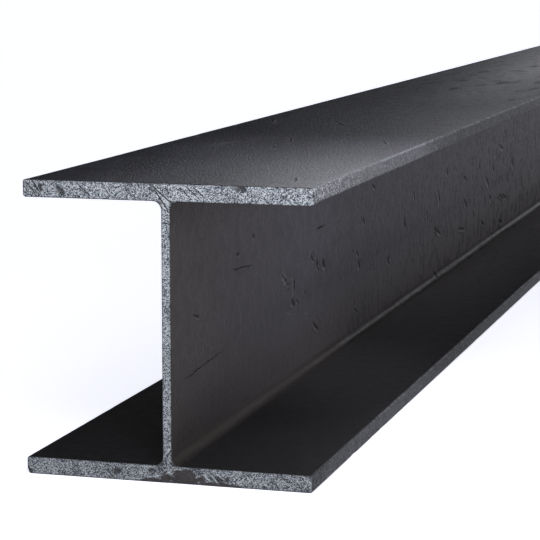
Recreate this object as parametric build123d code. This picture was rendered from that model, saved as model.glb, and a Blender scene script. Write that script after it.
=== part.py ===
from build123d import *
import os

# Hot-rolled steel I-beam: a wide-flange section sawn to a stock length.
# Sizes are in millimetres. X runs across the flanges, Y along the beam and Z up through the web.
# The beam stands on its lower flange, and the origin is the middle of its underside.

# The rolled section
FLANGE_WIDTH = 200.0
DEPTH = 200.0
FLANGE_THICKNESS = 12.0
WEB_THICKNESS = 6.5

# Radius of the four fillets that the rolls leave where the web meets the flanges
ROOT_RADIUS = 6.0

# Radius of the eight corners of the flange tips
TOE_RADIUS = 2.0

# Distance between the two sawn ends
LENGTH = 3000.0


def rolled_section():
    """The H-shaped section, drawn on the upright plane of the front saw cut."""
    web_depth = DEPTH - 2 * FLANGE_THICKNESS
    with BuildSketch(Plane.XZ.offset(LENGTH / 2)) as section:
        Rectangle(FLANGE_WIDTH, FLANGE_THICKNESS, align=(Align.CENTER, Align.MIN))
        with Locations((0, FLANGE_THICKNESS)):
            Rectangle(WEB_THICKNESS, web_depth, align=(Align.CENTER, Align.MIN))
        with Locations((0, DEPTH - FLANGE_THICKNESS)):
            Rectangle(FLANGE_WIDTH, FLANGE_THICKNESS, align=(Align.CENTER, Align.MIN))

        # The corners beside the web are the roots, and the ones furthest from it are the toes
        roots = section.vertices().group_by(lambda corner: abs(corner.X))[0]
        fillet(roots, radius=ROOT_RADIUS)
        toes = section.vertices().group_by(lambda corner: abs(corner.X))[-1]
        fillet(toes, radius=TOE_RADIUS)
    return section.sketch


def rolled_beam():
    """The section carried straight along Y, from the front saw cut to the back one."""
    return extrude(rolled_section(), amount=-LENGTH)


os.makedirs("parts", exist_ok=True)
beam = rolled_beam()
export_step(beam, "parts/beam.step")

section_area = beam.volume / LENGTH
print(f"beam: section {section_area:.1f} mm2, volume {beam.volume / 1e9:.6f} m3")
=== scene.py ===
# %% [markdown]
# # A length of hot-rolled steel beam
#
# The beam is one piece of rolled steel, so the whole object is one closed surface. This lesson
# reads the section from the fixed model, carries it along the beam as a numpy grid, presses the
# rolling mill's unevenness, dents and chips into it, and then gives it two finishes: the dark
# scale that hot rolling leaves, and the bare grainy steel of a saw cut.

# %% Load the fixed model
import math

import bpy
import numpy as np
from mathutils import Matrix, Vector


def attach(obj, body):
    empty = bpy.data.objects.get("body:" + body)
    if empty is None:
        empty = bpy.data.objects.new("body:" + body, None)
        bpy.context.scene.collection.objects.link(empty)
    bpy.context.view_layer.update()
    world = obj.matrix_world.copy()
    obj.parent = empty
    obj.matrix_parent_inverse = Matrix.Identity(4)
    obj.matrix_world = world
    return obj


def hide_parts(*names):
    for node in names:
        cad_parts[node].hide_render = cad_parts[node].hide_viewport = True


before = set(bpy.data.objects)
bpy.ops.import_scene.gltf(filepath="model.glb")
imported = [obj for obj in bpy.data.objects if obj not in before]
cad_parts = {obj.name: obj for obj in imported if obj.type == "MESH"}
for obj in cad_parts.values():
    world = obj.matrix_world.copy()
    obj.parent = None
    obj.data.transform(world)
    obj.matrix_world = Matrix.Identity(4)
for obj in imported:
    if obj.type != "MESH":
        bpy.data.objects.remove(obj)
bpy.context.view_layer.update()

beam_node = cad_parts["beam"]

# %% [markdown]
# ## Read the section from the model
#
# The section could be typed in again, but then it could drift away from the solid. Every corner
# of the solid's mesh lies on the section's outline, so a few smallest and largest coordinates
# give all its sizes.

# %% Section sizes
corner = np.empty(len(beam_node.data.vertices) * 3, np.float32)
beam_node.data.vertices.foreach_get("co", corner)
corner = corner.reshape(-1, 3).astype(float)

half_width = np.abs(corner[:, 0]).max()
depth = corner[:, 2].max()
front_end = corner[:, 1].min()
back_end = corner[:, 1].max()
half_web = np.abs(corner[:, 0]).min()
on_web = np.abs(corner[:, 0]) < half_web + 1e-5
on_tip = np.abs(corner[:, 0]) > half_width - 1e-5
beyond_root = (np.abs(corner[:, 0]) > half_width / 2) & (corner[:, 2] < depth / 2)
flange = corner[beyond_root, 2].max()
root_radius = corner[on_web, 2].min() - flange
toe_radius = corner[on_tip, 2].min()
print(f"flange {flange * 1000:.2f} mm, web {half_web * 2000:.2f} mm, "
      f"root {root_radius * 1000:.2f} mm, toe {toe_radius * 1000:.2f} mm")

# %% [markdown]
# ## Set the camera
#
# The camera stands low in front of the sawn end and to its right, and looks along the beam with
# a long lens. Its place is measured from the front saw cut, so it stays with the beam.

# %% Camera
CAMERA_RIGHT = 0.4464
CAMERA_AHEAD = 1.2951
CAMERA_HEIGHT = 0.3470
CAMERA_TURN = math.radians(16.17)
CAMERA_TILT = math.radians(8.478)
CAMERA_LENS = 141.06

camera_data = bpy.data.cameras.new("camera")
camera_data.lens = CAMERA_LENS
camera_data.sensor_width = 36.0
camera_data.clip_start = 0.05
camera_data.clip_end = 200.0
camera = bpy.data.objects.new("camera", camera_data)
camera.location = (CAMERA_RIGHT, front_end - CAMERA_AHEAD, CAMERA_HEIGHT)
camera.rotation_euler = (math.pi / 2 - CAMERA_TILT, 0.0, CAMERA_TURN)
bpy.context.scene.collection.objects.link(camera)
bpy.context.scene.camera = camera
print("camera at", [round(v, 3) for v in camera.location])

# %% [markdown]
# ## The section as a grid
#
# A saw cut shows the whole section, so its face has to be filled. Three patches do it: each
# flange is a row of upright columns, and the web is a block between them that shares its columns.
# The fillets and the rounded tips only change how high a column reaches, so one formula holds for
# the whole flange. The outline is then a walk round the edges of the three patches, and the same
# walk is the profile that is carried along the beam.

# %% Patches of the section
WEB_STEPS = 1
ROOT_STEPS = 4
FLAT_STEPS = 13
TOE_STEPS = 3
FLANGE_ROWS = 4
WEB_ROWS = 40


def half_flange(inset, refine):
    """Columns of the lower flange from the web's centre to the right tip, as x, outer z and inner z.

    Across the web x grows evenly and the inner edge stays a root radius above the flange. Round the
    root and the toe, x and z follow sine and cosine of a quarter turn. Between them both faces are
    level. Everything is moved inwards by the inset.
    """
    web = half_web - inset
    root = root_radius + inset
    toe = toe_radius - inset
    outer, inner = inset, flange - inset
    across = np.linspace(0, 1, WEB_STEPS * refine + 1)
    turn = np.linspace(0, math.pi / 2, ROOT_STEPS * refine + 1)[1:]
    run = np.linspace(web + root, half_width - inset - toe, FLAT_STEPS * refine + 1)[1:]
    tip = np.linspace(0, math.pi / 2, TOE_STEPS * refine + 1)[1:]
    x = np.concatenate([web * across, web + root * (1 - np.cos(turn)), run,
                        half_width - inset - toe + toe * np.sin(tip)])
    high = np.concatenate([np.full(len(across), inner + root), inner + root * (1 - np.sin(turn)),
                           np.full(len(run), inner), inner - toe * (1 - np.cos(tip))])
    low = np.concatenate([np.full(len(x) - len(tip), outer), outer + toe * (1 - np.cos(tip))])
    return x, low, high


def section_points(inset, refine):
    """Points (x, z) of the three patches: lower flange, upper flange, and the web between them."""
    x, low, high = half_flange(inset, refine)
    x = np.concatenate([-x[:0:-1], x])
    low = np.concatenate([low[:0:-1], low])
    high = np.concatenate([high[:0:-1], high])
    share = np.linspace(0, 1, FLANGE_ROWS * refine + 1)
    z = low[:, None] + (high - low)[:, None] * share
    lower = np.stack([np.repeat(x[:, None], len(share), 1), z], -1).reshape(-1, 2)
    upper = lower * (1, -1) + (0, depth)

    centre = len(x) // 2
    web_x = x[centre - WEB_STEPS * refine:centre + WEB_STEPS * refine + 1]
    web_z = np.linspace(high[centre], depth - high[centre], WEB_ROWS * refine + 1)[1:-1]
    web = np.stack(np.meshgrid(web_x, web_z, indexing="ij"), -1).reshape(-1, 2)
    return np.concatenate([lower, upper, web])


def section_layout(refine):
    """Quads of the three patches, and the outline as a walk of point numbers, seen from the front."""
    columns = 2 * (WEB_STEPS + ROOT_STEPS + FLAT_STEPS + TOE_STEPS) * refine + 1
    rows = FLANGE_ROWS * refine + 1
    lower = np.arange(columns * rows).reshape(columns, rows)
    upper = lower + columns * rows
    centre = columns // 2
    left, right = centre - WEB_STEPS * refine, centre + WEB_STEPS * refine
    inside = np.arange((right - left + 1) * (WEB_ROWS * refine - 1)) + 2 * columns * rows
    inside = inside.reshape(right - left + 1, -1)
    web = np.concatenate([lower[left:right + 1, -1:], inside, upper[left:right + 1, -1:]], 1)

    def quads(patch):
        corners = [patch[:-1, :-1], patch[1:, :-1], patch[1:, 1:], patch[:-1, 1:]]
        return np.stack(corners, -1).reshape(-1, 4)

    faces = np.concatenate([quads(lower), quads(upper)[:, ::-1], quads(web)])
    walk = np.concatenate([
        lower[:, 0], lower[-1, 1:], lower[right:-1, -1][::-1], web[-1, 1:], upper[right + 1:, -1],
        upper[-1, :-1][::-1], upper[:-1, 0][::-1], upper[0, 1:], upper[1:left + 1, -1],
        web[0, :-1][::-1], lower[:left, -1][::-1], lower[0, 1:-1][::-1],
    ])
    return faces, walk


coarse_faces, coarse_walk = section_layout(1)
print("outline points:", len(coarse_walk), "patch faces:", len(coarse_faces))

# %% [markdown]
# ## Carry the profile along the beam
#
# The rings stand close together at the sawn ends, where marks are small and near the eye, and
# further apart in the middle. A ring spacing that grows evenly with the distance from the end
# gives rings at an exponential of their number. The saw cut itself needs a finer grid, so one
# strip of many-sided faces joins each coarse ring to a ring with several points to each of its.

# %% Rings and faces
ARRIS = 0.0003
CUT_REFINE = 4
CUT_STRIP = 0.0012
FRONT_SPACING = 0.0026
BACK_SPACING = 0.0034
SPACING_GROWTH = 0.0135


def ring_places(start, stop, spacing):
    """Distances from start to stop, each step longer than the last by the growth times the distance."""
    reach = stop - start
    count = math.ceil(math.log(1 + SPACING_GROWTH * reach / spacing) / SPACING_GROWTH)
    share = (np.exp(SPACING_GROWTH * np.linspace(0, count, count + 1)) - 1) / SPACING_GROWTH * spacing
    return start + share * reach / share[-1]


margin = ARRIS + CUT_STRIP
front_rings = ring_places(front_end + margin, 0.0, FRONT_SPACING)
back_rings = -ring_places(-back_end + margin, 0.0, BACK_SPACING)[::-1]
rings = np.concatenate([front_rings, back_rings[1:]])
print("rings:", len(rings))


def at_y(section, y):
    """The (x, z) points of a section as points in space at this y."""
    return np.stack([section[:, 0], np.full(len(section), y), section[:, 1]], -1)


def beam_mesh():
    """All points and faces of the closed beam: the rolled skin, two arrises and two saw cuts."""
    coarse = section_points(0.0, 1)[coarse_walk]
    fine_faces, fine_walk = section_layout(CUT_REFINE)
    fine = section_points(0.0, CUT_REFINE)[fine_walk]
    cut = section_points(ARRIS, CUT_REFINE)

    n = len(coarse)
    skin = np.concatenate([at_y(coarse, y) for y in rings])
    points = [skin]
    skin_numbers = np.arange(len(skin)).reshape(len(rings), n)
    quads = [np.stack([skin_numbers[:-1], skin_numbers[1:], np.roll(skin_numbers[1:], -1, 1),
                       np.roll(skin_numbers[:-1], -1, 1)], -1).reshape(-1, 4)]
    strips, caps = [], []
    total = len(skin)
    for end, inward, ring in ((front_end, 1, skin_numbers[0]), (back_end, -1, skin_numbers[-1])):
        shoulder = np.arange(len(fine)) + total
        face = np.arange(len(cut)) + total + len(fine)
        total += len(fine) + len(cut)
        points += [at_y(fine, end + inward * ARRIS), at_y(cut, end)]
        rim = face[fine_walk]
        arris = np.stack([rim, shoulder, np.roll(shoulder, -1), np.roll(rim, -1)], -1)
        loop = np.append(shoulder, shoulder[0])
        steps = np.arange(n)[:, None] * CUT_REFINE + np.arange(CUT_REFINE, -1, -1)
        strip = np.concatenate([loop[steps], ring[:, None], np.roll(ring, -1)[:, None]], 1)
        cap = face[fine_faces]
        if inward < 0:
            arris, strip, cap = arris[:, ::-1], strip[:, ::-1], cap[:, ::-1]
        quads.append(arris)
        strips.append(strip)
        caps.append(cap)
    return np.concatenate(points), np.concatenate(quads), np.concatenate(strips), np.concatenate(caps)


points, quads, strips, caps = beam_mesh()
triangles = 2 * len(quads) + (CUT_REFINE + 1) * len(strips) + 2 * len(caps)
print("points:", len(points), "triangles:", triangles)

# %% [markdown]
# ## Where the marks are
#
# Chains, forks and other steel leave gouges and scratches, and each beam has its own. The ones on
# this beam are listed: two ends and a width in millimetres, on the face they lie on. The
# gouges are used twice, for shallow dents in the mesh and for fine lines in the finish. All other
# lists only go to the finish.

# %% Marks of the web
WEB_GOUGES = [
    (263, 103, 289, 89, 4), (301, 94, 303, 83, 6.5), (292, 80, 304, 69, 7), (333, 79, 335, 75, 4),
    (350, 105, 366, 98, 3.6), (370, 100, 378, 87, 5.5), (386, 97, 400, 87, 4.5), (505, 89, 517, 82, 4),
    (515, 80, 520, 69, 6.5), (357, 49, 378, 39, 4.6), (132, 124, 192, 120, 1.2),
    (144, 134, 156, 133, 2.4), (187, 144, 192, 140, 4), (45, 106, 62, 101, 2.4), (18, 64, 124, 70, 1.2),
    (365, 124, 400, 124, 1.8), (532, 116, 538, 106, 4.5), (564, 142, 580, 135, 3.5),
    (625, 67, 641, 56, 4.5), (838, 69, 883, 54, 4.5), (861, 107, 874, 88, 6.5), (842, 20, 860, 13, 6),
    (1002, 81, 1029, 66, 7), (1003, 106, 1012, 99, 5.5), (1134, 92, 1162, 77, 7),
    (1221, 121, 1256, 113, 5.5), (1220, 61, 1268, 51, 4.6), (1243, 59, 1288, 49, 4.6),
    (1158, 66, 1178, 60, 6.5), (1222, 29, 1258, 23, 6.5), (1108, 43, 1134, 34, 5.5),
    (967, 50, 1018, 44, 4), (700, 96, 708, 82, 5), (742, 118, 750, 104, 5), (806, 90, 812, 78, 5),
    (905, 125, 915, 112, 5.5), (1060, 60, 1072, 50, 5), (1090, 112, 1104, 101, 6),
    (1180, 100, 1196, 90, 6), (1310, 96, 1332, 84, 7), (284, 93, 286, 84, 2.2), (297, 78, 300, 70, 4.6),
    (306, 77, 316, 70, 2.4), (366, 101, 368, 91, 2.6), (380, 98, 383, 89, 2.6), (508, 78, 521, 76, 2.6),
    (492, 92, 500, 86, 2.4), (527, 118, 529, 108, 2.2), (498, 38, 516, 31, 2), (271, 99, 283, 93, 2),
]
WEB_SCUFFS = [
    (265, 104, 284, 96, 1.6), (286, 95, 302, 92, 1.6), (359, 53, 374, 46, 1.4), (508, 72, 520, 69, 1.8),
    (277, 70, 294, 65, 2.6), (330, 61, 347, 57, 2.6), (497, 36, 513, 31, 2.6), (1230, 51, 1290, 44, 3),
    (260, 101, 284, 88, 2), (373, 87, 384, 98, 2.4), (1126, 90, 1152, 76, 2.8), (296, 86, 298, 74, 3.6),
    (509, 79, 512, 69, 3.2), (862, 92, 868, 84, 3.6),
]
WEB_TEARS = [
    (268, 100, 284, 90, 12), (298, 92, 302, 74, 17), (352, 104, 364, 98, 12), (371, 100, 377, 88, 14),
    (388, 96, 398, 88, 13), (506, 88, 514, 82, 12), (516, 79, 519, 70, 14), (333, 80, 336, 74, 10),
    (360, 48, 376, 40, 9), (840, 68, 880, 56, 12), (862, 106, 872, 90, 15), (1004, 80, 1026, 68, 16),
    (1136, 91, 1160, 78, 18), (1222, 60, 1266, 52, 15), (1160, 66, 1176, 60, 15),
    (1224, 29, 1256, 24, 12), (1110, 42, 1132, 35, 13), (1310, 96, 1330, 86, 18),
    (700, 96, 708, 84, 12), (625, 67, 641, 58, 11),
]

# %% Marks of the top and the tip
TOP_GOUGES = [
    (73, 320, 62, 355, 1.6), (-1, 483, -28, 545, 1.6), (-3, 262, -8, 284, 1.4),
    (-2, 308, -17, 366, 1.2), (78, 33, 71, 62, 2.2), (-66, 470, -86, 556, 1.8),
]
TOP_BLOTCHES = [
    (-14, 994, -12, 1050, 14), (-34, 1145, -29, 1206, 15), (-44, 1330, -40, 1396, 13),
    (20, 1100, 21, 1180, 20), (78, 834, 81, 890, 10), (-76, 676, -74, 724, 5), (2, 1085, 30, 1130, 12),
    (-60, 90, -52, 140, 12), (-88, 60, -80, 96, 10), (12, 1085, 38, 1215, 26), (-2, 1490, 0, 1530, 13),
    (60, 1130, 62, 1180, 13), (73, 1020, 75, 1070, 11), (-65, 1600, -52, 1720, 16),
    (-36, 1405, -35, 1430, 9),
]
TOP_SCUFFS = [
    (-84, 126, -80, 139, 3.4), (-40, 116, -36, 129, 3.4), (-60, 262, -45, 322, 9),
    (-57, 458, -82, 548, 5),
]
TIP_GOUGES = [
    (29.6, 194.2, 31.4, 194, 1.6), (472, 196.4, 478, 195.6, 2),
]
TIP_SCUFFS = [
    (148, 199.2, 257, 189.8, 1), (296, 198.6, 322, 191, 1),
]

# %% Marks of the saw cut
CUT_SCRATCHES = [
    (-11.6, 200.2, 6.2, 185.2, 1.05), (-8.8, 197.6, 3.8, 178.8, 0.95), (-0.6, 197.6, 3, 193.2, 0.8),
    (12.4, 199.8, 24.6, 189, 0.75), (17, 199.8, 29.6, 188.8, 0.7), (8.4, 199.4, 19, 188.8, 0.65),
    (-3.2, 174.2, 3.2, 173.3, 1.1), (-1.2, 17.4, 4.2, 23.6, 0.8), (-97.5, 198.6, -89.6, 188.6, 0.8),
    (-93.8, 199.6, -86, 189, 0.8), (-62.6, 199.4, -51.4, 188.8, 0.7), (-44, 198, -38, 190.5, 0.7),
]
CUT_SMUDGES = [
    (-88.9, 198.4, -86.1, 191.6, 4), (-77.5, 198, -69.5, 189.4, 4.6), (47.5, 199.9, 54.5, 196.6, 5.2),
    (-38.5, 4.6, -32.5, 7.2, 4.4), (-100, 4, -96.5, 0.4, 3.6), (-13.5, 7.5, -8, 8.6, 3),
    (30, 4.2, 44, 5.4, 4.6),
]
CUT_GLEAMS = [
    (-2.9, 17.6, 3, 24.8, 0.9), (-12, 3.4, -2, 5.4, 1), (-2, 5.6, 3.6, 9.2, 1),
    (3.6, 9.4, 12, 10.2, 0.9), (24.5, 8.6, 30.5, 2.6, 1.3), (29.5, 8, 36.5, 1, 1.2), (33, 9, 41, 4, 1),
    (-30, 1.6, -16, 2, 0.9), (47, 1.5, 55, 8.6, 0.9), (54, 2, 61, 8.8, 0.9),
]
CUT_STAINS = [
    (-5, 3, 26, 3, 11.4), (4, 6.4, 20, 6.6, 7), (-18, 0.6, 2, 1.4, 3.6), (22, 1.2, 52, 0.6, 3.6),
    (4.5, 12.4, 9.5, 15.2, 2),
]

# %% Marks as arrays


def laid_out(marks, corner, first, second):
    """Marks as rows of an array: middle, direction along, direction across, half-length and half-width.

    Their numbers are counted from a corner of the face along two directions. The direction across
    is the face's normal crossed with the direction along.
    """
    ends = np.array(marks, float) / 1000
    first, second = np.array(first, float), np.array(second, float)
    start = corner + ends[:, 0:1] * first + ends[:, 1:2] * second
    end = corner + ends[:, 2:3] * first + ends[:, 3:4] * second
    half_length = np.linalg.norm(end - start, axis=1, keepdims=True) / 2
    along = (end - start) / 2 / half_length
    across = np.cross(np.cross(first, second), along)
    return np.concatenate([(start + end) / 2, along, across, half_length, ends[:, 4:] / 2], 1)


RIGHT_WEB = ((half_web, front_end, 0.0), (0, 1, 0), (0, 0, 1))
RIGHT_TIP = ((half_width, front_end, 0.0), (0, 1, 0), (0, 0, 1))
TOP_FACE = ((0.0, front_end, depth), (1, 0, 0), (0, 1, 0))
FRONT_CUT = ((0.0, front_end, 0.0), (1, 0, 0), (0, 0, 1))
LISTS = {
    "gouges": [(WEB_GOUGES, RIGHT_WEB), (TOP_GOUGES, TOP_FACE), (TIP_GOUGES, RIGHT_TIP)],
    "scuffs": [(WEB_SCUFFS, RIGHT_WEB), (TOP_SCUFFS, TOP_FACE), (TIP_SCUFFS, RIGHT_TIP)],
    "scratches": [(CUT_SCRATCHES, FRONT_CUT)],
    "smudges": [(CUT_SMUDGES, FRONT_CUT), (TOP_BLOTCHES, TOP_FACE), (WEB_TEARS, RIGHT_WEB)],
    "gleams": [(CUT_GLEAMS, FRONT_CUT)],
    "stains": [(CUT_STAINS, FRONT_CUT)],
}
marks = {name: np.concatenate([laid_out(listed, *face) for listed, face in lists])
         for name, lists in LISTS.items()}
print("marks:", {name: len(rows) for name, rows in marks.items()})

# %% [markdown]
# ## Rolled relief
#
# Rolls leave a surface that is flat to a fraction of a millimetre but never dead flat: it swells
# slowly, its scale lies in shallow patches, and handling knocks small flats into the flange tips.
# A lattice of random heights blended smoothly makes the swell, and all of it is pressed inwards
# along the surface's own normal, so the beam never grows past its rolled size.

# %% Smooth noise
HASH_MULTIPLIERS = np.array([73856093, 19349663, 83492791], np.int64)
SEED_MULTIPLIER = 668265263
MIX_MULTIPLIERS = (1274126177, 2246822519)


def lattice_noise(places, cell_size, seed):
    """Smooth random heights between 0 and 1.

    Space is cut into cells, each lattice corner hashes to a random height, and a point blends the
    eight corners round it with the weight 3t^2 - 2t^3 along each axis.
    """
    scaled = places / cell_size
    base = np.floor(scaled).astype(np.int64)
    t = scaled - base
    t = t * t * (3 - 2 * t)
    height = np.zeros(len(places))
    for corner_step in np.ndindex(2, 2, 2):
        mixed = ((base + corner_step) * HASH_MULTIPLIERS).sum(1) + seed * SEED_MULTIPLIER
        mixed = (mixed ^ (mixed >> 13)) * MIX_MULTIPLIERS[0] & 0xFFFFFFFF
        mixed = ((mixed ^ (mixed >> 16)) * MIX_MULTIPLIERS[1] & 0xFFFFFFFF) >> 8
        weight = np.where(corner_step, t, 1 - t).prod(1)
        height += weight * mixed / 0xFFFFFF
    return height


# %% Relief
SWELL = 0.00012
SWELL_CELLS = (0.05, 0.09, 0.05)
SWELL_SEED = 11
SCALE_DEPTH = 0.00008
SCALE_CELLS = (0.012, 0.020, 0.012)
SCALE_SEED = 12
TIP_KNOCK = 0.0007
TIP_KNOCK_CELL = 0.014
TIP_KNOCK_DRAWN = (0.35, 1.0, 0.35)
TIP_KNOCK_START = 0.66
TIP_KNOCK_REACH = 0.004
TIP_KNOCK_SEED = 13
THIN_ARM = 0.0008
THIN_ARM_FACING = -0.5
DENT_DEPTH = 0.00022
DENT_SPREAD = 0.007


def outline_distance(places):
    """How far inside the two flange tips a point lies, in metres: 0 at the tip's face."""
    return half_width - np.abs(places[:, 0])


def dents(places, rows):
    """How deep the dents round the marks are: caps (1 - r^2)^2 over ellipsoids round their lines."""
    depths = np.zeros(len(places))
    for row in rows:
        away = places - row[:3]
        along = away @ row[3:6]
        across = np.sqrt(np.maximum((away ** 2).sum(1) - along ** 2, 0))
        r2 = (along / (row[9] + DENT_SPREAD / 2)) ** 2 + (across / (row[10] + DENT_SPREAD / 2)) ** 2
        depths = np.maximum(depths, DENT_DEPTH * np.clip(1 - r2, 0, 1) ** 2)
    return depths


def rolled_relief(places, normals):
    """Moves points inwards by a slow swell, shallow scale patches, dents and knocks on the flange tips.

    A knock is the part of a noise along the beam that rises above its start, fading within a short
    reach of the tip. The right arm of the upper flange is rolled a little thin, and thinner still
    towards the tip.
    """
    swell = SWELL * lattice_noise(places / SWELL_CELLS, 1.0, SWELL_SEED)
    scale = SCALE_DEPTH * lattice_noise(places / SCALE_CELLS, 1.0, SCALE_SEED)
    near_tip = np.clip(1 - outline_distance(places) / TIP_KNOCK_REACH, 0, 1) ** 2
    drawn = lattice_noise(places * TIP_KNOCK_DRAWN, TIP_KNOCK_CELL, TIP_KNOCK_SEED)
    knock = TIP_KNOCK * np.clip(drawn - TIP_KNOCK_START, 0, 1) / (1 - TIP_KNOCK_START)
    inwards = swell + scale + knock * near_tip + dents(places, marks["gouges"])
    moved = places - normals * inwards[:, None]

    under_top = (normals[:, 2] < THIN_ARM_FACING) & (places[:, 2] > depth / 2)
    moved[:, 2] += THIN_ARM * np.clip(places[:, 0] / half_width, 0, 1) * under_top
    return moved


# %% [markdown]
# ## Chipped edges
#
# A saw cut's edges are brittle with scale, and a knock breaks a small piece out of them. Each chip
# is a ball-like hollow: points inside it are moved into the steel, most of all in its middle. It is
# listed as its middle, its reach along each axis, the way it pushes, and its depth in metres.

# %% Chips
CHIPS = [
    ((0.0510, front_end, depth), (0.0042, 0.0030, 0.0036), (-0.2, 1.0, -0.6), 0.0011),
    ((-0.0990, front_end, 0.0020), (0.0022, 0.0020, 0.0022), (0.7, 0.8, 0.2), 0.0010),
    ((0.0115, front_end, 0.0030), (0.0165, 0.0030, 0.0056), (0.0, 1.0, 0.0), 0.0004),
    ((-0.0730, back_end, depth), (0.0050, 0.0032, 0.0030), (0.1, -0.6, -1.0), 0.0014),
    ((0.0990, back_end, 0.1985), (0.0026, 0.0024, 0.0026), (-0.8, -0.7, -0.3), 0.0011),
    ((0.0360, back_end, 0.0), (0.0040, 0.0030, 0.0028), (0.0, -0.7, 1.0), 0.0012),
]
CHIP_RAGGED = 0.35
CHIP_CELL = 0.0016
CHIP_SEED = 21


def chipped(places):
    """Moves points into each chip's hollow by its depth times 1 - r^2, with a ragged r."""
    ragged = 1 + CHIP_RAGGED * (lattice_noise(places, CHIP_CELL, CHIP_SEED) - 0.5)
    moved = places.copy()
    for middle, reach, push, deep in CHIPS:
        r = np.linalg.norm((places - middle) / reach, axis=1) * ragged
        direction = np.array(push) / np.linalg.norm(push)
        moved += direction * (deep * np.clip(1 - r ** 2, 0, 1))[:, None]
    return moved


# %% [markdown]
# ## Make the surface
#
# The relief needs the surface's normals, so the plain mesh is made first, then its points move.
# Two numbers are kept on each point for the finishes: how near it is to a flange's rounded arris,
# and how near to the outline of a saw cut.
#
# The marks are finer than the mesh, so a finish has to draw them. Each face looks up its nearest
# mark of a kind, and its corners keep where they lie along and across that mark. Such numbers
# change evenly over the face, so a line half a millimetre wide stays sharp inside a wide face.

# %% Mesh
RIM_REACH = 0.0010


def read(items, name, width, kind=np.float32):
    """One property of all items, as an array with this many numbers to an item."""
    values = np.empty(len(items) * width, kind)
    items.foreach_get(name, values)
    return values.reshape(-1, width) if width > 1 else values


def keep_value(mesh, name, values):
    """Keeps one number on each of the mesh's points, under a name that a material can read."""
    mesh.attributes.new(name, "FLOAT", "POINT").data.foreach_set("value", values.astype(np.float32))


def arris_nearness(places):
    """1 in the middle of a rounded flange arris and 0 where its curve ends, across and upwards."""
    up = np.minimum(places[:, 2], depth - places[:, 2])
    to_face = np.minimum(np.abs(up), np.abs(flange - up))
    to_tip = outline_distance(places)
    return 2 * np.clip(1 - to_face / toe_radius, 0, 1) * np.clip(1 - to_tip / toe_radius, 0, 1)


def rim_nearness(places):
    """1 on the section's outline, falling to 0 within a millimetre of it, seen along the beam."""
    up = np.minimum(places[:, 2], depth - places[:, 2])
    in_flange = np.minimum(np.minimum(up, flange - up), outline_distance(places))
    in_web = half_web - np.abs(places[:, 0])
    return np.clip(1 - np.maximum(in_flange, in_web) / RIM_REACH, 0, 1)


beam_shape = bpy.data.meshes.new("rolled_beam")
beam_shape.from_pydata(points.tolist(), [], quads.tolist() + strips.tolist() + caps.tolist())
beam_shape.update()
keep_value(beam_shape, "arris", arris_nearness(points))
keep_value(beam_shape, "rim", rim_nearness(points))
normals = read(beam_shape.vertex_normals, "vector", 3).astype(float)
points = chipped(rolled_relief(points, normals))
beam_shape.vertices.foreach_set("co", points.astype(np.float32).ravel())
beam_shape.update()

# %% Marks on the mesh
MARK_LOOKUP = 0.022
MARK_PLANE = 0.003
MARK_FACING = 0.5
OFF_MARK = 9.0


def keep_mark_places(mesh, name, rows):
    """Keeps (along / half-length, across / half-width, 1 / half-width) of each face's nearest mark.

    A mark counts for a face that looks the same way, lies in its plane and is no further than the
    lookup from the mark's line. The numbers are then worked out at the face's corners.
    """
    centres, normals = read(mesh.polygons, "center", 3), read(mesh.polygons, "normal", 3)
    nearest = np.full(len(centres), -1)
    least = np.full(len(centres), MARK_LOOKUP)
    for number, row in enumerate(rows):
        away = centres - row[:3]
        facing = np.cross(row[3:6], row[6:9])
        beyond = np.maximum(np.abs(away @ row[3:6]) - row[9], 0)
        distance = np.hypot(beyond, away @ row[6:9])
        on_face = (normals @ facing > MARK_FACING) & (np.abs(away @ facing) < MARK_PLANE)
        counts = (distance < least) & on_face
        nearest[counts] = number
        least[counts] = distance[counts]
    sides = read(mesh.polygons, "loop_total", 1, np.int32)
    mark_of_corner = np.repeat(nearest, sides)
    corners = read(mesh.vertices, "co", 3)[read(mesh.loops, "vertex_index", 1, np.int32)]
    row = rows[mark_of_corner]
    away = corners - row[:, :3]
    along = (away * row[:, 3:6]).sum(1) / row[:, 9]
    across = (away * row[:, 6:9]).sum(1) / row[:, 10]
    place = np.stack([along, across, 1 / row[:, 10]], 1)
    place[mark_of_corner < 0] = OFF_MARK
    kept = mesh.attributes.new(name, "FLOAT_VECTOR", "CORNER")
    kept.data.foreach_set("vector", place.astype(np.float32).ravel())
    return int((nearest >= 0).sum())


for name, rows in marks.items():
    print(name, "on", keep_mark_places(beam_shape, name, rows), "faces")

# %% [markdown]
# ## The beam object
#
# The surface takes the place of the plain solid. Its saw cuts use a second material, which each
# face gets by its number, because the faces of the cuts were made last. A Weighted Normal
# modifier lets the large flat faces set the shading, so the small curves at their edges stay small.

# %% Make the object
SCALE_FINISH, CUT_FINISH = 0, 1
FLAT_WEIGHT = 80

rolled_beam = bpy.data.objects.new("rolled_beam", beam_shape)
bpy.context.scene.collection.objects.link(rolled_beam)
finish_of_face = np.full(len(beam_shape.polygons), SCALE_FINISH, np.int32)
finish_of_face[-len(caps):] = CUT_FINISH
beam_shape.polygons.foreach_set("material_index", finish_of_face)
beam_shape.polygons.foreach_set("use_smooth", np.ones(len(beam_shape.polygons), bool))
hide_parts("beam")
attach(rolled_beam, "root")
flat_normals = rolled_beam.modifiers.new("flat_normals", "WEIGHTED_NORMAL")
flat_normals.weight = FLAT_WEIGHT

# %% [markdown]
# ## Helpers for the finishes
#
# A material is a tree of small nodes. These helpers keep each line of it short: one makes a node
# and joins its inputs, and the others make the few kinds that every finish is built from. An output
# knows the tree it belongs to, so a helper that gets one needs no tree.

# %% Node helpers
MILLIMETRE = 0.001


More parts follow.
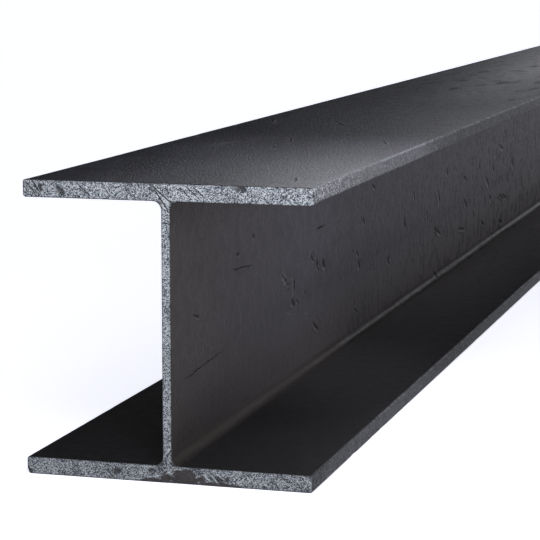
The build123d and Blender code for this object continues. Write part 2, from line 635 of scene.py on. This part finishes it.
def fill(made, inputs):
    """Gives a node its inputs, by socket name or number: an output is linked and a value is set."""
    for socket, value in dict(inputs).items():
        if isinstance(value, bpy.types.NodeSocket):
            made.id_data.links.new(value, made.inputs[socket])
        else:
            made.inputs[socket].default_value = value


def node(tree, kind, inputs=(), **settings):
    """A shader node of this kind, in the tree given or in the tree of the output given."""
    made = tree.id_data.nodes.new("ShaderNode" + kind)
    for name, value in settings.items():
        setattr(made, name, value)
    fill(made, inputs)
    return made


def noise(place, scale, detail=2, roughness=0.5):
    """Noise between 0 and 1, with this many waves to the metre."""
    return node(place, "TexNoise", {"Vector": place, "Scale": scale, "Detail": detail,
                                    "Roughness": roughness}).outputs["Fac"]


def stretch(place, factors):
    """The place with each axis multiplied, which squeezes or draws out a pattern."""
    return node(place, "Mapping", {"Vector": place, "Scale": factors}).outputs["Vector"]


def remap(value, low, high, new_low=0, new_high=1, smooth=False):
    """The value's run from low to high drawn out to a new run, and held there outside it."""
    steps = "SMOOTHSTEP" if smooth else "LINEAR"
    return node(value, "MapRange", {"Value": value, "From Min": low, "From Max": high, "To Min": new_low,
                                    "To Max": new_high}, interpolation_type=steps).outputs["Result"]


def maths(operation, first, second=0):
    """One sum on two values, of which at least one is an output."""
    tree = first if isinstance(first, bpy.types.NodeSocket) else second
    return node(tree, "Math", {0: first, 1: second}, operation=operation).outputs["Value"]


def total(*shares):
    """The sum of values, each given as (value, factor). The first value is an output."""
    summed = 0
    for value, factor in shares:
        summed = node(shares[0][0], "Math", {0: value, 1: factor, 2: summed},
                      operation="MULTIPLY_ADD").outputs["Value"]
    return summed


def product(*factors):
    """The values multiplied together. One of the first two is an output."""
    result = factors[0]
    for factor in factors[1:]:
        result = maths("MULTIPLY", result, factor)
    return result


def blend(share, first, second):
    """A colour that goes from the first to the second as the share goes from 0 to 1."""
    return node(share, "Mix", {0: share, 6: first, 7: second}, data_type="RGBA").outputs[2]


def counted(place, turn, sizes):
    """The place turned, and counted in steps of these sizes."""
    return node(place, "Mapping", {"Vector": place, "Rotation": turn, "Scale": sizes},
                vector_type="TEXTURE").outputs["Vector"]


def parts(vector):
    """The X, Y and Z of a vector, by name."""
    return node(vector, "SeparateXYZ", {"Vector": vector}).outputs


def red(colour):
    """The red of a colour, which is a random number where the colour is random."""
    return node(colour, "SeparateColor", {"Color": colour}).outputs["Red"]


def cell_chance(place, scale):
    """A random number for each cell of a pattern with this many cells to the metre."""
    return red(node(place, "TexVoronoi", {"Vector": place, "Scale": scale}).outputs["Color"])


def bumped(height):
    """The surface's normal tilted by a height in millimetres."""
    return node(height, "Bump", {"Strength": 1, "Distance": MILLIMETRE,
                                 "Height": height}).outputs["Normal"]


def grey(value, blue=1, red=1):
    """A grey with a little more or less blue and red in it."""
    return (value * red, value, value * blue, 1)


def new_material(name):
    """A new material with its tree and its shader."""
    material = bpy.data.materials.new(name)
    material.use_nodes = True
    tree = material.node_tree
    tree.nodes.clear()
    shader = node(tree, "BsdfPrincipled")
    node(tree, "OutputMaterial", {"Surface": shader.outputs["BSDF"]})
    return material, tree, shader


# %% [markdown]
# ## Helpers for marks
#
# A listed mark is a thin ellipse round its line, so its distance is the length of (along, across)
# as the corners keep them, and 1 on the outline. A little noise is added across, or each line
# would be as straight as a ruler's. Marks nobody listed come from the cells of a Voronoi pattern:
# each cell may hold one spindle.

# %% Mark helpers


def mark_distance(place, name, wobble, aside=0):
    """How far the nearest mark of a kind is: 0 at its middle and 1 on its outline.

    The wobble is how far noise moves the line, in metres, and aside moves it by half-widths.
    """
    kept = parts(node(place, "Attribute", attribute_name=name).outputs["Vector"])
    shake = total((noise(place, 240, 3, 0.65), 4 * wobble), (1, -2 * wobble))
    across = total((shake, kept["Z"]), (kept["Y"], 1), (1, aside))
    flat = node(place, "CombineXYZ", {"X": kept["X"], "Y": across}).outputs["Vector"]
    return node(flat, "VectorMath", {0: flat}, operation="LENGTH").outputs["Value"]


def scattered_marks(place, turn, sizes, fullness):
    """Random spindles, one to a cell at most: 1 in a spindle's middle and 0 outside it.

    The pattern is turned and drawn out to the cell's sizes. A cell's random number gives its
    spindle's size, and the fullness says how much of a cell the largest one fills.
    """
    steps = counted(place, turn, sizes)
    cells = node(steps, "TexVoronoi", {"Vector": steps, "Scale": 1}).outputs
    reach = remap(red(cells["Color"]), 0.45, 1, 0.001, fullness)
    return remap(maths("DIVIDE", cells["Distance"], reach), 1, 0.3, smooth=True)


def shaken(place, scale, amount):
    """The place moved about by noise, so that a pattern on it gets uneven edges."""
    shake = node(place, "TexNoise", {"Vector": place, "Scale": scale, "Detail": 2}).outputs["Color"]
    centred = node(shake, "VectorMath", {0: shake, 1: (0.5, 0.5, 0.5)},
                   operation="SUBTRACT").outputs["Vector"]
    return node(centred, "VectorMath", {0: centred, 1: (2 * amount,) * 3, 2: place},
                operation="MULTIPLY_ADD").outputs["Vector"]


# %% [markdown]
# ## Mill scale
#
# Steel that is rolled hot comes out under a thin dark skin of oxide. It is blue-black where it is
# whole, greyer where it has been rubbed or dusted, slightly plum on the web, and brown where damp
# has sat in the channel. The web's foot and the lower flange deep in the channel are paler: partly
# dust, and partly painted fill light against the shade there. The gouges hold painted shade, and
# their lips, the edges of torn patches and the glints on the top are painted highlights. One tree
# of nodes makes it in steps: where on the beam a point lies, which patterns and marks cross it, how
# they have worn it, and then its colour, its gloss and its height.

# %% Mill scale colours
WHOLE_SCALE = grey(0.012, 1.28, 1.01)
GREY_SCALE = grey(0.027, 1.25, 1)
WEB_PLUM = grey(0.023, 1.5, 1.22)
# Dust and painted fill light: the web's foot is made paler where the channel shades it.
FOOT_DUST_AND_FILL_LIGHT = (0.19, 0.168, 0.167, 1)
LOW_SCALE = (0.014, 0.0127, 0.0122, 1)
# Dust and painted fill light: the lower flange is made paler where the channel shades it.
FLANGE_DUST_AND_FILL_LIGHT = (0.19, 0.176, 0.176, 1)
DAMP_BROWN = (0.032, 0.0245, 0.0205, 1)
FILLET_BROWN = (0.038, 0.028, 0.023, 1)
# Painted shade inside the gouges, and the dark of pits, dashes, ticks and torn patches.
GOUGE_SHADE = grey(0.005)
BLOTCH_SHADE = grey(0.008)
# Pale scuffs and hairs, and the painted highlight on gouge lips, torn edges and glints.
SCUFF_AND_HIGHLIGHT = grey(0.085, 0.98, 1)
BARE_SPECKLE = grey(0.56, 1.06, 0.97)
SCALE_SPECULAR = 0.12

# %% Mill scale patterns


def scale_patterns(place):
    """Patterns of the oxide by name: patches, flakes, grain, rolling streaks and soft smears."""
    return {
        "broad": noise(stretch(place, (1, 0.4, 1)), 14, 4),
        "patches": noise(place, 70, 5, 0.6),
        "flakes": noise(place, 300, 4, 0.65),
        "grain": noise(place, 1100, 2, 0.6),
        "streaks": noise(stretch(place, (1, 0.35, 1)), 760, 2, 0.6),
        "smears": noise(stretch(place, (1, 0.22, 1)), 60, 4, 0.65),
    }


def scale_marks(place):
    """Marks by name, 1 in their middle: the listed kinds, and scattered pits, dashes, ticks and hairs.

    A gouge pushes a lip of metal up along one side, so the lip is the same mark moved aside. The
    lip's pale colour in the finish is a painted highlight.
    """
    bent = shaken(place, 160, 0.0014)
    return {
        "gouge": remap(mark_distance(place, "gouges", 0.0011), 1, 0.35, smooth=True),
        "lip": remap(mark_distance(place, "gouges", 0.0011, 1.6), 0.9, 0.3, smooth=True),
        "scuff": remap(mark_distance(place, "scuffs", 0.0009), 1, 0.2),
        "blotch": remap(mark_distance(place, "smudges", 0.006), 1.2, 0.2, smooth=True),
        "pit": scattered_marks(bent, (0, 0, 0), (0.008, 0.01, 0.008), 0.32),
        "dash": scattered_marks(bent, (-0.45, 0, 0.5), (0.016, 0.05, 0.018), 0.27),
        "tick": scattered_marks(bent, (0.15, 0.2, 0), (0.016, 0.017, 0.03), 0.27),
        "hair": scattered_marks(place, (0.12, 0, -0.2), (0.008, 0.22, 0.008), 0.1),
    }


# %% Mill scale zones
FACING_UP = (0.5, 0.9)
BESIDE_WEB = (0.012, 0.008)
WEB_HEIGHTS = (0.195, 0.187)
WEB_FOOT = (0.075, 0.016)
LOWER_FLANGE = (0.1, 0.05)
UPPER_FLANGE = (0.1, 0.15)
FILLET_TOP, FILLET_SIDE, FILLET_FOOT = (0.021, 0.0165), (0.01, 0.0085), (0.0115, 0.0125)
TIP_SKIN = (0.0016, 0.0006)
ROUGHER_FROM, ROUGHER_TO, FRONT_ROUGHNESS = 0.35, 1.2, 0.25


def scale_zones(coordinates):
    """Where a point lies, by name: places in metres, and shares that are 1 inside a zone.

    The zones are the web and its foot, the root fillet, the top of either flange and the tips.
    The upper top is called handled, and it and the tips are the open side. The oxide is smoother
    near the front, so one share grows along the beam.
    """
    here, upwards = parts(coordinates["Object"]), parts(coordinates["Normal"])["Z"]
    x, y, z = here["X"], here["Y"], here["Z"]
    sideways = maths("ABSOLUTE", x)
    facing_up = remap(upwards, *FACING_UP)
    beside_web = remap(sideways, *BESIDE_WEB)
    on_tip = remap(sideways, half_width - TIP_SKIN[0], half_width - TIP_SKIN[1])
    handled = product(facing_up, remap(z, *UPPER_FLANGE))
    return {
        "x": x, "z": z, "sideways": sideways, "upwards": upwards, "on_tip": on_tip, "handled": handled,
        "from_end": maths("SUBTRACT", back_end, maths("ABSOLUTE", y)),
        "low_tip": product(on_tip, remap(z, depth * 0.9, depth / 2)),
        "on_web": product(beside_web, remap(z, *WEB_HEIGHTS)),
        "web_foot": product(remap(z, *WEB_FOOT), beside_web),
        "in_fillet": product(remap(z, *FILLET_TOP), remap(sideways, *FILLET_SIDE),
                             remap(z, *FILLET_FOOT)),
        "flange_top": product(facing_up, remap(z, *LOWER_FLANGE)),
        "open_side": maths("MAXIMUM", handled, on_tip),
        "rougher_along": remap(y, front_end + ROUGHER_FROM, front_end + ROUGHER_TO, FRONT_ROUGHNESS, 1),
        "arris": node(x, "Attribute", attribute_name="arris").outputs["Fac"],
    }


# %% Mill scale wear
SPECKLE_SCALE = 900


def scale_wear(place, zone, pattern, mark):
    """What has worn the oxide, by name.

    Bare specks are rubbed into the tips and arrises, and patches of the web are torn away. Light
    gathers the scuffs and hairs, which are rubbed pale, and the painted highlights on gouge lips, torn
    edges and glints. Dark gathers the gouges with the painted shade inside them, the pits, dashes and
    ticks, and the torn patches. Smeared is soft dirt on top.
    """
    from_end, patches, smears = zone["from_end"], pattern["patches"], pattern["smears"]
    speckle = remap(cell_chance(place, SPECKLE_SCALE), 0.62, 0.9)
    near_end = product(remap(from_end, 0.16, 0), remap(zone["low_tip"], 0, 1, 1, 0.22))
    rubbed = product(maths("MAXIMUM", near_end, 0.14), zone["on_tip"], speckle)
    edge_rub = product(zone["arris"], remap(pattern["flakes"], 0.44, 0.6, 0.03, 0.5),
                       remap(from_end, 0, 0.45, 0.1, 1), remap(zone["upwards"], -0.2, 0.3))

    far_tears = remap(zone["rougher_along"], FRONT_ROUGHNESS, 1, 0.1, 0.55)
    tearing = product(zone["on_web"], maths("MAXIMUM", mark["blotch"], far_tears))
    torn = product(remap(patches, 0.455, 0.415), tearing)
    # Painted highlight along the edges of torn patches.
    torn_edge_highlight = product(remap(patches, 0.455, 0.475), remap(patches, 0.52, 0.495), tearing)
    # Painted glints: pale specks in the streaks of the top and tips, more of them towards the right.
    glints = product(remap(pattern["streaks"], 0.53, 0.61), zone["open_side"],
                     remap(zone["x"], -0.1, 0.06, 0.1, 1))
    light = total((mark["scuff"], 0.7), (mark["lip"], 0.65), (mark["hair"], 0.25),
                  (torn_edge_highlight, 0.3), (glints, 0.68))

    scattered = total((mark["pit"], 0.5), (mark["dash"], 0.7), (mark["tick"], 0.7))
    scattered = product(scattered, zone["rougher_along"])
    soft = product(mark["blotch"], remap(smears, 0.56, 0.44))
    far_soft = product(remap(smears, 0.46, 0.38), remap(from_end, 0.7, 1.1))
    smeared = product(total((soft, 1), (far_soft, 0.3)), zone["handled"])
    # Gouges are darkened with painted shade; pits, dashes, ticks and torn patches are dark marks.
    dark = total((mark["gouge"], 0.9), (scattered, 1), (torn, 0.75))
    return {
        "rubbed": rubbed, "edge_rub": edge_rub, "torn": torn, "light": light, "scattered": scattered,
        "smeared": smeared, "dark": maths("MINIMUM", dark, 1),
    }


# %% Mill scale layers


def scale_colour(zone, pattern, wear):
    """The oxide's colour: whole or grey by patches, and then one layer of colour over another."""
    from_end, on_web, web_foot = zone["from_end"], zone["on_web"], zone["web_foot"]
    worn = total((pattern["broad"], 0.45), (pattern["patches"], 0.3), (pattern["flakes"], 0.25))
    damp = maths("MAXIMUM", product(web_foot, remap(from_end, 0.6, 0, 0, 0.75)),
                 product(on_web, remap(from_end, 0.4, 0, 0, 0.75)))
    # Dust and painted fill light at the web's foot, growing deeper into the channel.
    foot_dust_and_fill_light = product(web_foot, remap(from_end, 0.1, 0.6, 0.1, 1),
                        remap(pattern["patches"], 0.25, 0.65, 0.7, 1))
    # Dust and painted fill light on the lower flange, growing towards the web and away from the end.
    settled_dust_and_fill_light = product(remap(from_end, 0.17, 0.9),
                      remap(zone["sideways"], 0.1, 0.012, 0.05, 1.3), zone["flange_top"])
    layers = [
        (product(on_web, remap(zone["z"], 0.03, 0.075, 0, 0.6)), WEB_PLUM),
        (damp, DAMP_BROWN),
        (foot_dust_and_fill_light, FOOT_DUST_AND_FILL_LIGHT),
        (product(zone["flange_top"], 0.75), LOW_SCALE),
        (settled_dust_and_fill_light, FLANGE_DUST_AND_FILL_LIGHT),
        (product(zone["in_fillet"], remap(from_end, 0, 0.5, 0.35, 0.9)), FILLET_BROWN),
        (maths("MAXIMUM", wear["rubbed"], wear["edge_rub"]), BARE_SPECKLE),
        (maths("MINIMUM", wear["light"], 1), SCUFF_AND_HIGHLIGHT),
        (maths("MINIMUM", wear["smeared"], 0.8), BLOTCH_SHADE),
        (wear["dark"], GOUGE_SHADE),
    ]
    colour = blend(remap(worn, 0.38, 0.62), WHOLE_SCALE, GREY_SCALE)
    for share, layer in layers:
        colour = blend(share, colour, layer)
    return colour


def scale_roughness(zone, pattern, wear, crisp):
    """How dull the oxide is: patches and wear are summed and drawn out to a run of roughness.

    Some stretches are duller or glossier than the rest: the sheltered left front of the top, the
    trodden strip behind it, the weathered far part, the web's brow, the root and the dirty low tip.
    """
    from_end, handled = zone["from_end"], zone["handled"]
    sheltered = product(handled, remap(zone["x"], -0.02, -0.09), remap(from_end, 0.6, 0.2))
    trodden = product(handled, remap(from_end, 0.65, 0.4), remap(zone["x"], -0.09, -0.03))
    weathered = product(handled, remap(from_end, 0.5, 0.75),
                        remap(zone["sideways"], 0.02, 0.07, 0.25, 1))
    near_brow = product(zone["on_web"], remap(zone["z"], 0.06, 0.14), remap(from_end, 0.35, 0))
    near_root = product(zone["in_fillet"], remap(from_end, 0.45, 0.05))
    dirty_end = maths("MAXIMUM", remap(from_end, 0.07, 0), remap(from_end, 0.9, 0.3, 0, 0.35))
    dull = total((pattern["patches"], 0.3), (pattern["flakes"], 0.35), (1, 0.125), (crisp, 0.18),
                 (wear["dark"], 0.15), (wear["light"], -0.08), (wear["smeared"], 0.28),
                 (zone["on_tip"], 0.06), (trodden, 0.03), (sheltered, -0.3), (weathered, 0.08),
                 (near_brow, 0.14), (zone["arris"], 0.12))
    return total((remap(dull, 0.2, 0.62, 0.285, 0.68), 1),
                 (product(zone["low_tip"], dirty_end), 0.28), (near_root, 0.25))


def scale_height(zone, pattern, mark, wear, crisp):
    """The fine relief of the oxide, in millimetres: its patches and grain, and the marks in it."""
    rough = total((pattern["patches"], 0.4), (wear["scattered"], -0.7))
    fine = total((pattern["flakes"], 0.07), (pattern["grain"], 0.05), (crisp, 0.11))
    return total((product(rough, zone["rougher_along"]), 1), (fine, 1),
                 (wear["torn"], -1.2), (mark["gouge"], -1.3), (mark["lip"], 0.7),
                 (mark["hair"], -0.02), (wear["rubbed"], 0.12))


# %% Mill scale material


def mill_scale():
    """The rolled faces' finish, put together from its zones, patterns, marks and wear."""
    material, tree, shader = new_material("mill_scale")
    coordinates = node(tree, "TexCoord").outputs
    place = coordinates["Object"]
    zone = scale_zones(coordinates)
    pattern = scale_patterns(place)
    mark = scale_marks(place)
    wear = scale_wear(place, zone, pattern, mark)
    crisp = product(remap(pattern["streaks"], 0.38, 0.62, -1, 1), zone["open_side"])

    fill(shader, {
        "Specular IOR Level": SCALE_SPECULAR,
        "Base Color": scale_colour(zone, pattern, wear),
        "Roughness": scale_roughness(zone, pattern, wear, crisp),
        "Normal": bumped(scale_height(zone, pattern, mark, wear, crisp)),
    })
    return material


beam_shape.materials.append(mill_scale())
print("mill scale nodes:", len(beam_shape.materials[0].node_tree.nodes))

# %% [markdown]
# ## Saw cut
#
# A saw leaves the steel bare. The cut is a dull blue-grey from a little way off, and close to it
# is a crowd of bright and dark grains about half a millimetre wide. Slanting lines cross it where
# the blade's teeth tore a little deeper, and a brown stain sits in the shallow hollow at the foot.

# %% Saw cut colours
DARK_GRAIN = grey(0.05, 1.42, 0.7)
BRIGHT_GRAIN = grey(0.74, 1.035, 0.95)
CUT_SHADE = grey(0.016, 1.2, 1)
STAIN = (0.03, 0.023, 0.021, 1)
GRAIN_SCALE = 1900
HATCH_SLANT = math.radians(41)
HATCH_SIZES = (0.02, 0.02, 0.0012)
CUT_METALLIC = 0.35

# %% Saw cut material


def hatch(place, slant):
    """Fine slanting lines, 1 where the blade tore, from noise drawn out along the slant."""
    lines = noise(counted(place, (0, slant, 0), HATCH_SIZES), 1, 2, 0.6)
    where = noise(place, 45, 1)
    return product(remap(lines, 0.52, 0.62), remap(where, 0.4, 0.58))


def saw_cut():
    """The sawn faces' finish: cells of bright and dark grain, slanting lines, scratches and a stain."""
    material, tree, shader = new_material("saw_cut")
    place = node(tree, "TexCoord").outputs["Object"]
    rim = node(tree, "Attribute", attribute_name="rim").outputs["Fac"]
    cell = cell_chance(shaken(place, 700, 0.0003), GRAIN_SCALE)
    cluster = noise(place, 500, 2, 0.7)
    tone = noise(place, 55, 2)
    grain = total((cell, 1.55), (cluster, 0.1), (tone, 0.2), (1, -0.445))
    torn = maths("MAXIMUM", hatch(place, HATCH_SLANT), product(hatch(place, -HATCH_SLANT), 0.6))
    scratch = remap(mark_distance(place, "scratches", 0.00015), 1.15, 0.75)
    smudge = remap(mark_distance(place, "smudges", 0.0016), 1.2, 0.5)
    gleam = remap(mark_distance(place, "gleams", 0.0007), 1, 0.5)
    stain = remap(mark_distance(place, "stains", 0.0012), 1.15, 0.95)

    colour = blend(remap(grain, 0.22, 0.78), DARK_GRAIN, BRIGHT_GRAIN)
    # The cut is darker towards its foot.
    darkening_towards_foot = remap(parts(place)["Z"], 0.12, 0.01, 0, 0.29)
    # The rim's share darkens the cut along its outline: painted shade at the arris.
    shade = total((torn, 0.6), (smudge, 0.85), (rim, 0.75), (darkening_towards_foot, 1))
    colour = blend(maths("MINIMUM", shade, 0.9), colour, CUT_SHADE)
    colour = blend(product(stain, 0.93), colour, STAIN)
    colour = blend(product(gleam, 0.62), colour, BRIGHT_GRAIN)
    colour = blend(scratch, colour, CUT_SHADE)
    height = total((grain, 0.1), (torn, -0.05), (scratch, -0.12), (gleam, 0.08), (stain, -0.06))
    roughness = remap(grain, 0.2, 0.8, 0.58, 0.42)
    fill(shader, {"Metallic": CUT_METALLIC, "Base Color": colour, "Roughness": roughness,
                  "Normal": bumped(height)})
    return material


beam_shape.materials.append(saw_cut())
print("saw cut nodes:", len(beam_shape.materials[1].node_tree.nodes))

# %% [markdown]
# ## Floor and sky
#
# The beam lies in a pale studio. Dark steel shows the room it stands in almost as much as its own
# colour, so the room matters: even light from the front, the sides and above, a dim wall behind
# with one low bright window in it and a darker screen on its left, and a white floor that the
# flange tips and the web can mirror.

# %% Studio
SKY_LIGHT = 0.37
WALL_LIGHT = 0.05
SCREEN_LIGHT = 0.012
WINDOW_LIGHT = 5.75
COOL_LIGHT = grey(1, 1.07, 0.985)
WINDOW_RISE = math.radians(4)
WINDOW_EDGE = math.radians(10.1)
WINDOW_BLUR = math.radians(1.5)
SCREEN_EDGE = (-0.4, -0.2)
WALL_EDGE = (0, 0.5)
FLOOR_WHITE = 0.9
FLOOR_GLOW = 0.76
FLOOR_COOL = grey(1, 1.09, 0.99)
FLOOR_SIZE = 60


def studio_sky():
    """Light from every direction.

    The sky fades to the dim wall as a direction turns from sideways to straight back, the wall
    fades to a darker screen on its left, and the window is added round its own middle.
    """
    world = bpy.data.worlds.new("studio_sky")
    world.use_nodes = True
    tree = world.node_tree
    tree.nodes.clear()
    direction = node(tree, "TexCoord").outputs["Generated"]
    heading = parts(direction)
    wall = remap(heading["X"], *SCREEN_EDGE, SCREEN_LIGHT, WALL_LIGHT, smooth=True)
    even = remap(heading["Y"], *WALL_EDGE, SKY_LIGHT, wall, smooth=True)
    middle = (0, math.cos(WINDOW_RISE), math.sin(WINDOW_RISE))
    outside, inside = math.cos(WINDOW_EDGE + WINDOW_BLUR), math.cos(WINDOW_EDGE - WINDOW_BLUR)
    nearness = node(tree, "VectorMath", {0: direction, 1: middle}, operation="DOT_PRODUCT")
    window = remap(nearness.outputs["Value"], outside, inside, 0, WINDOW_LIGHT, smooth=True)
    sky = node(tree, "Background", {"Color": COOL_LIGHT, "Strength": maths("ADD", even, window)})
    node(tree, "OutputWorld", {"Surface": sky.outputs["Background"]})
    return world


def studio_floor():
    """One flat pale sheet that glows to the eye, to gloss and through glass, and keeps its shadows."""
    mesh = bpy.data.meshes.new("floor")
    reach = FLOOR_SIZE / 2
    across, along = np.meshgrid((-reach, reach), (-reach, reach))
    grid = np.stack([across, along, np.zeros((2, 2))], -1).reshape(-1, 3)
    mesh.from_pydata(grid.tolist(), [], [(0, 1, 3, 2)])
    floor = bpy.data.objects.new("floor", mesh)
    bpy.context.scene.collection.objects.link(floor)
    material, tree, shader = new_material("pale_floor")
    ray = node(tree, "LightPath").outputs
    seen = maths("MAXIMUM", ray["Is Camera Ray"], ray["Is Glossy Ray"])
    seen = maths("MAXIMUM", seen, ray["Is Transmission Ray"])
    fill(shader, {"Base Color": grey(FLOOR_WHITE), "Roughness": 0.9, "Specular IOR Level": 0,
                  "Emission Color": FLOOR_COOL, "Emission Strength": product(seen, FLOOR_GLOW)})
    mesh.materials.append(material)


bpy.context.scene.world = studio_sky()
studio_floor()

# %% [markdown]
# ## Softboxes
#
# The top of the beam is seen at a very low angle, where even dull steel turns into a mirror for
# what stands behind it. So the lamps that shape it hang above and behind the sawn end and send a
# low glance forwards, along the top and along the right tip. One small softbox lights the cut.

# %% Lamps
near_corner = Vector((half_width, front_end, depth))
LAMPS = {
    "top_glance": ((0, 0.27, 0.2), 0.3, 0.86),
    "far_glance": ((0, 0.8, 0.3), 0.3, 0.27),
    "tip_glance": ((0.2, 0.35, 0.02), 0.1, 0.56),
    "cut_softbox": ((0.02, -0.2, 0.18), 0.12, 0.66),
}


def softbox(name, place, aim, size, power):
    """A round lamp that faces its aim and isn't seen itself."""
    lamp_data = bpy.data.lights.new(name, "AREA")
    lamp_data.shape = "DISK"
    lamp_data.size = size
    lamp_data.energy = power
    lamp_data.color = COOL_LIGHT[:3]
    lamp = bpy.data.objects.new(name, lamp_data)
    lamp.location = place
    lamp.rotation_euler = (aim - place).to_track_quat("-Z", "Y").to_euler()
    lamp.visible_camera = False
    bpy.context.scene.collection.objects.link(lamp)


for name, (step, size, power) in LAMPS.items():
    softbox(name, near_corner + Vector(step), near_corner, size, power)

# %% [markdown]
# ## Finish
#
# The view transform is set to Standard, so colours are shown as they are.

# %% Finish
bpy.context.scene.view_settings.view_transform = "Standard"
